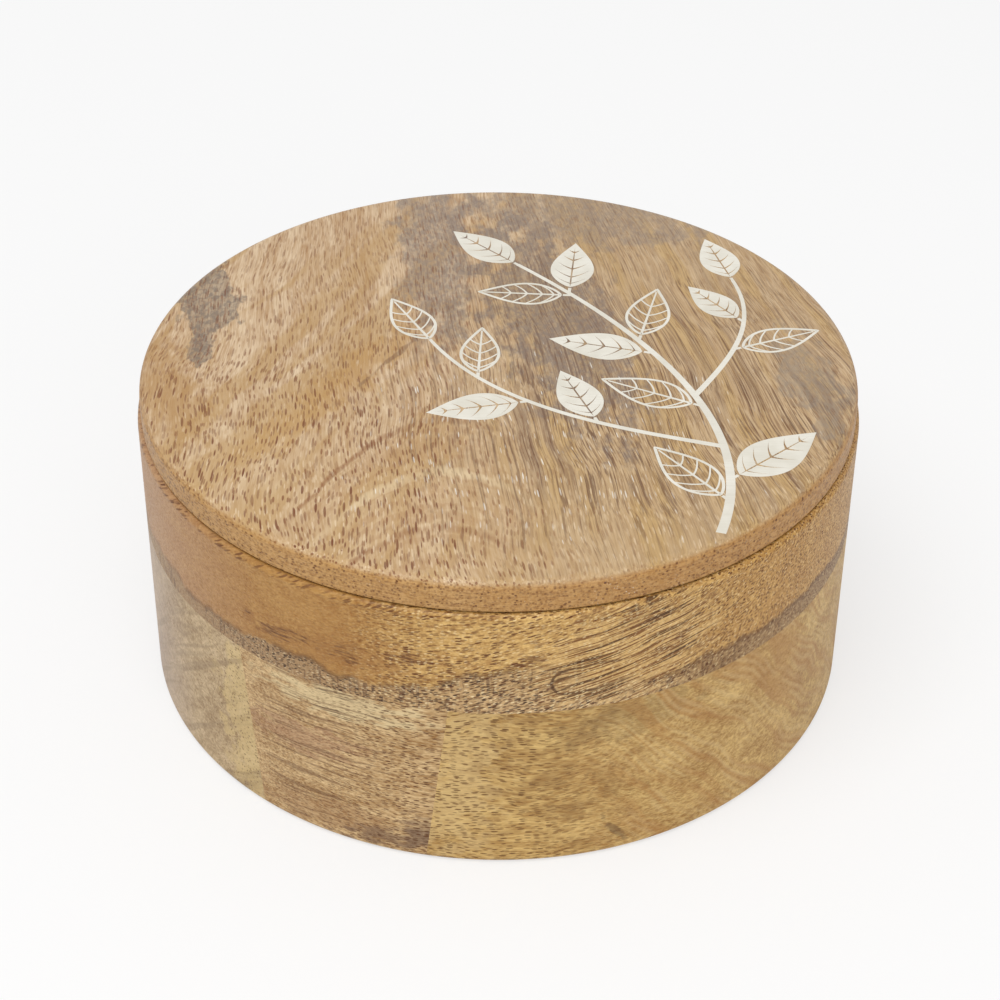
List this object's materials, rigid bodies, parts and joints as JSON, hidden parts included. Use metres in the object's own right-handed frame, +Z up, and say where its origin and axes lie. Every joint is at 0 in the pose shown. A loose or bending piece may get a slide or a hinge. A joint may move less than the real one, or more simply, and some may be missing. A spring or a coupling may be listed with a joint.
{
  "type": "trinket box",
  "caption": "Round turned wooden box with a loose lift-off lid on a spigot, and a leafy sprig of pale resin inlaid in the lid.",
  "frame": {"origin": "centre of the base, on the surface that the box stands on", "axes": "+Z up, -Y towards the front, +X to the right seen from the front"},
  "size_m": [0.15, 0.15, 0.07],
  "materials": {
    "upper_board": "mango wood, orange brown with a grey-brown band along its lower edge, satin lacquer",
    "left_block": "mango wood, pale greyish tan, satin lacquer",
    "middle_block": "mango wood, brown with reddish streaks, satin lacquer",
    "right_block": "mango wood, golden tan with wavy figure, satin lacquer",
    "lid_board": "mango wood, warm tan with reddish pore dashes and grey stain streaks, satin lacquer",
    "resin_inlay": "cured ivory resin, sanded flush, satin"
  },
  "bodies": {
    "box": {"upper_ring": "upper_board", "lower_block_left": "left_block", "lower_block_middle": "middle_block", "lower_block_right": "right_block"},
    "lid": {"lid_panel": "lid_board", "inlay_stem": "resin_inlay", "inlay_outline_leaf_01": "resin_inlay", "inlay_filled_leaf_02": "resin_inlay", "inlay_outline_leaf_03": "resin_inlay", "inlay_filled_leaf_04": "resin_inlay", "inlay_outline_leaf_05": "resin_inlay", "inlay_outline_leaf_06": "resin_inlay", "inlay_filled_leaf_07": "resin_inlay", "inlay_filled_leaf_08": "resin_inlay", "inlay_filled_leaf_09": "resin_inlay", "inlay_filled_leaf_10": "resin_inlay", "inlay_outline_leaf_11": "resin_inlay", "inlay_outline_leaf_12": "resin_inlay", "inlay_outline_leaf_13": "resin_inlay", "inlay_filled_leaf_14": "resin_inlay", "inlay_filled_leaf_15": "resin_inlay"}
  },
  "joints": [
    {"name": "lid_lift", "type": "slide", "parent": "box", "child": "lid", "axis": [0, 0, 1], "range_m": [0, 0.1]}
  ]
}
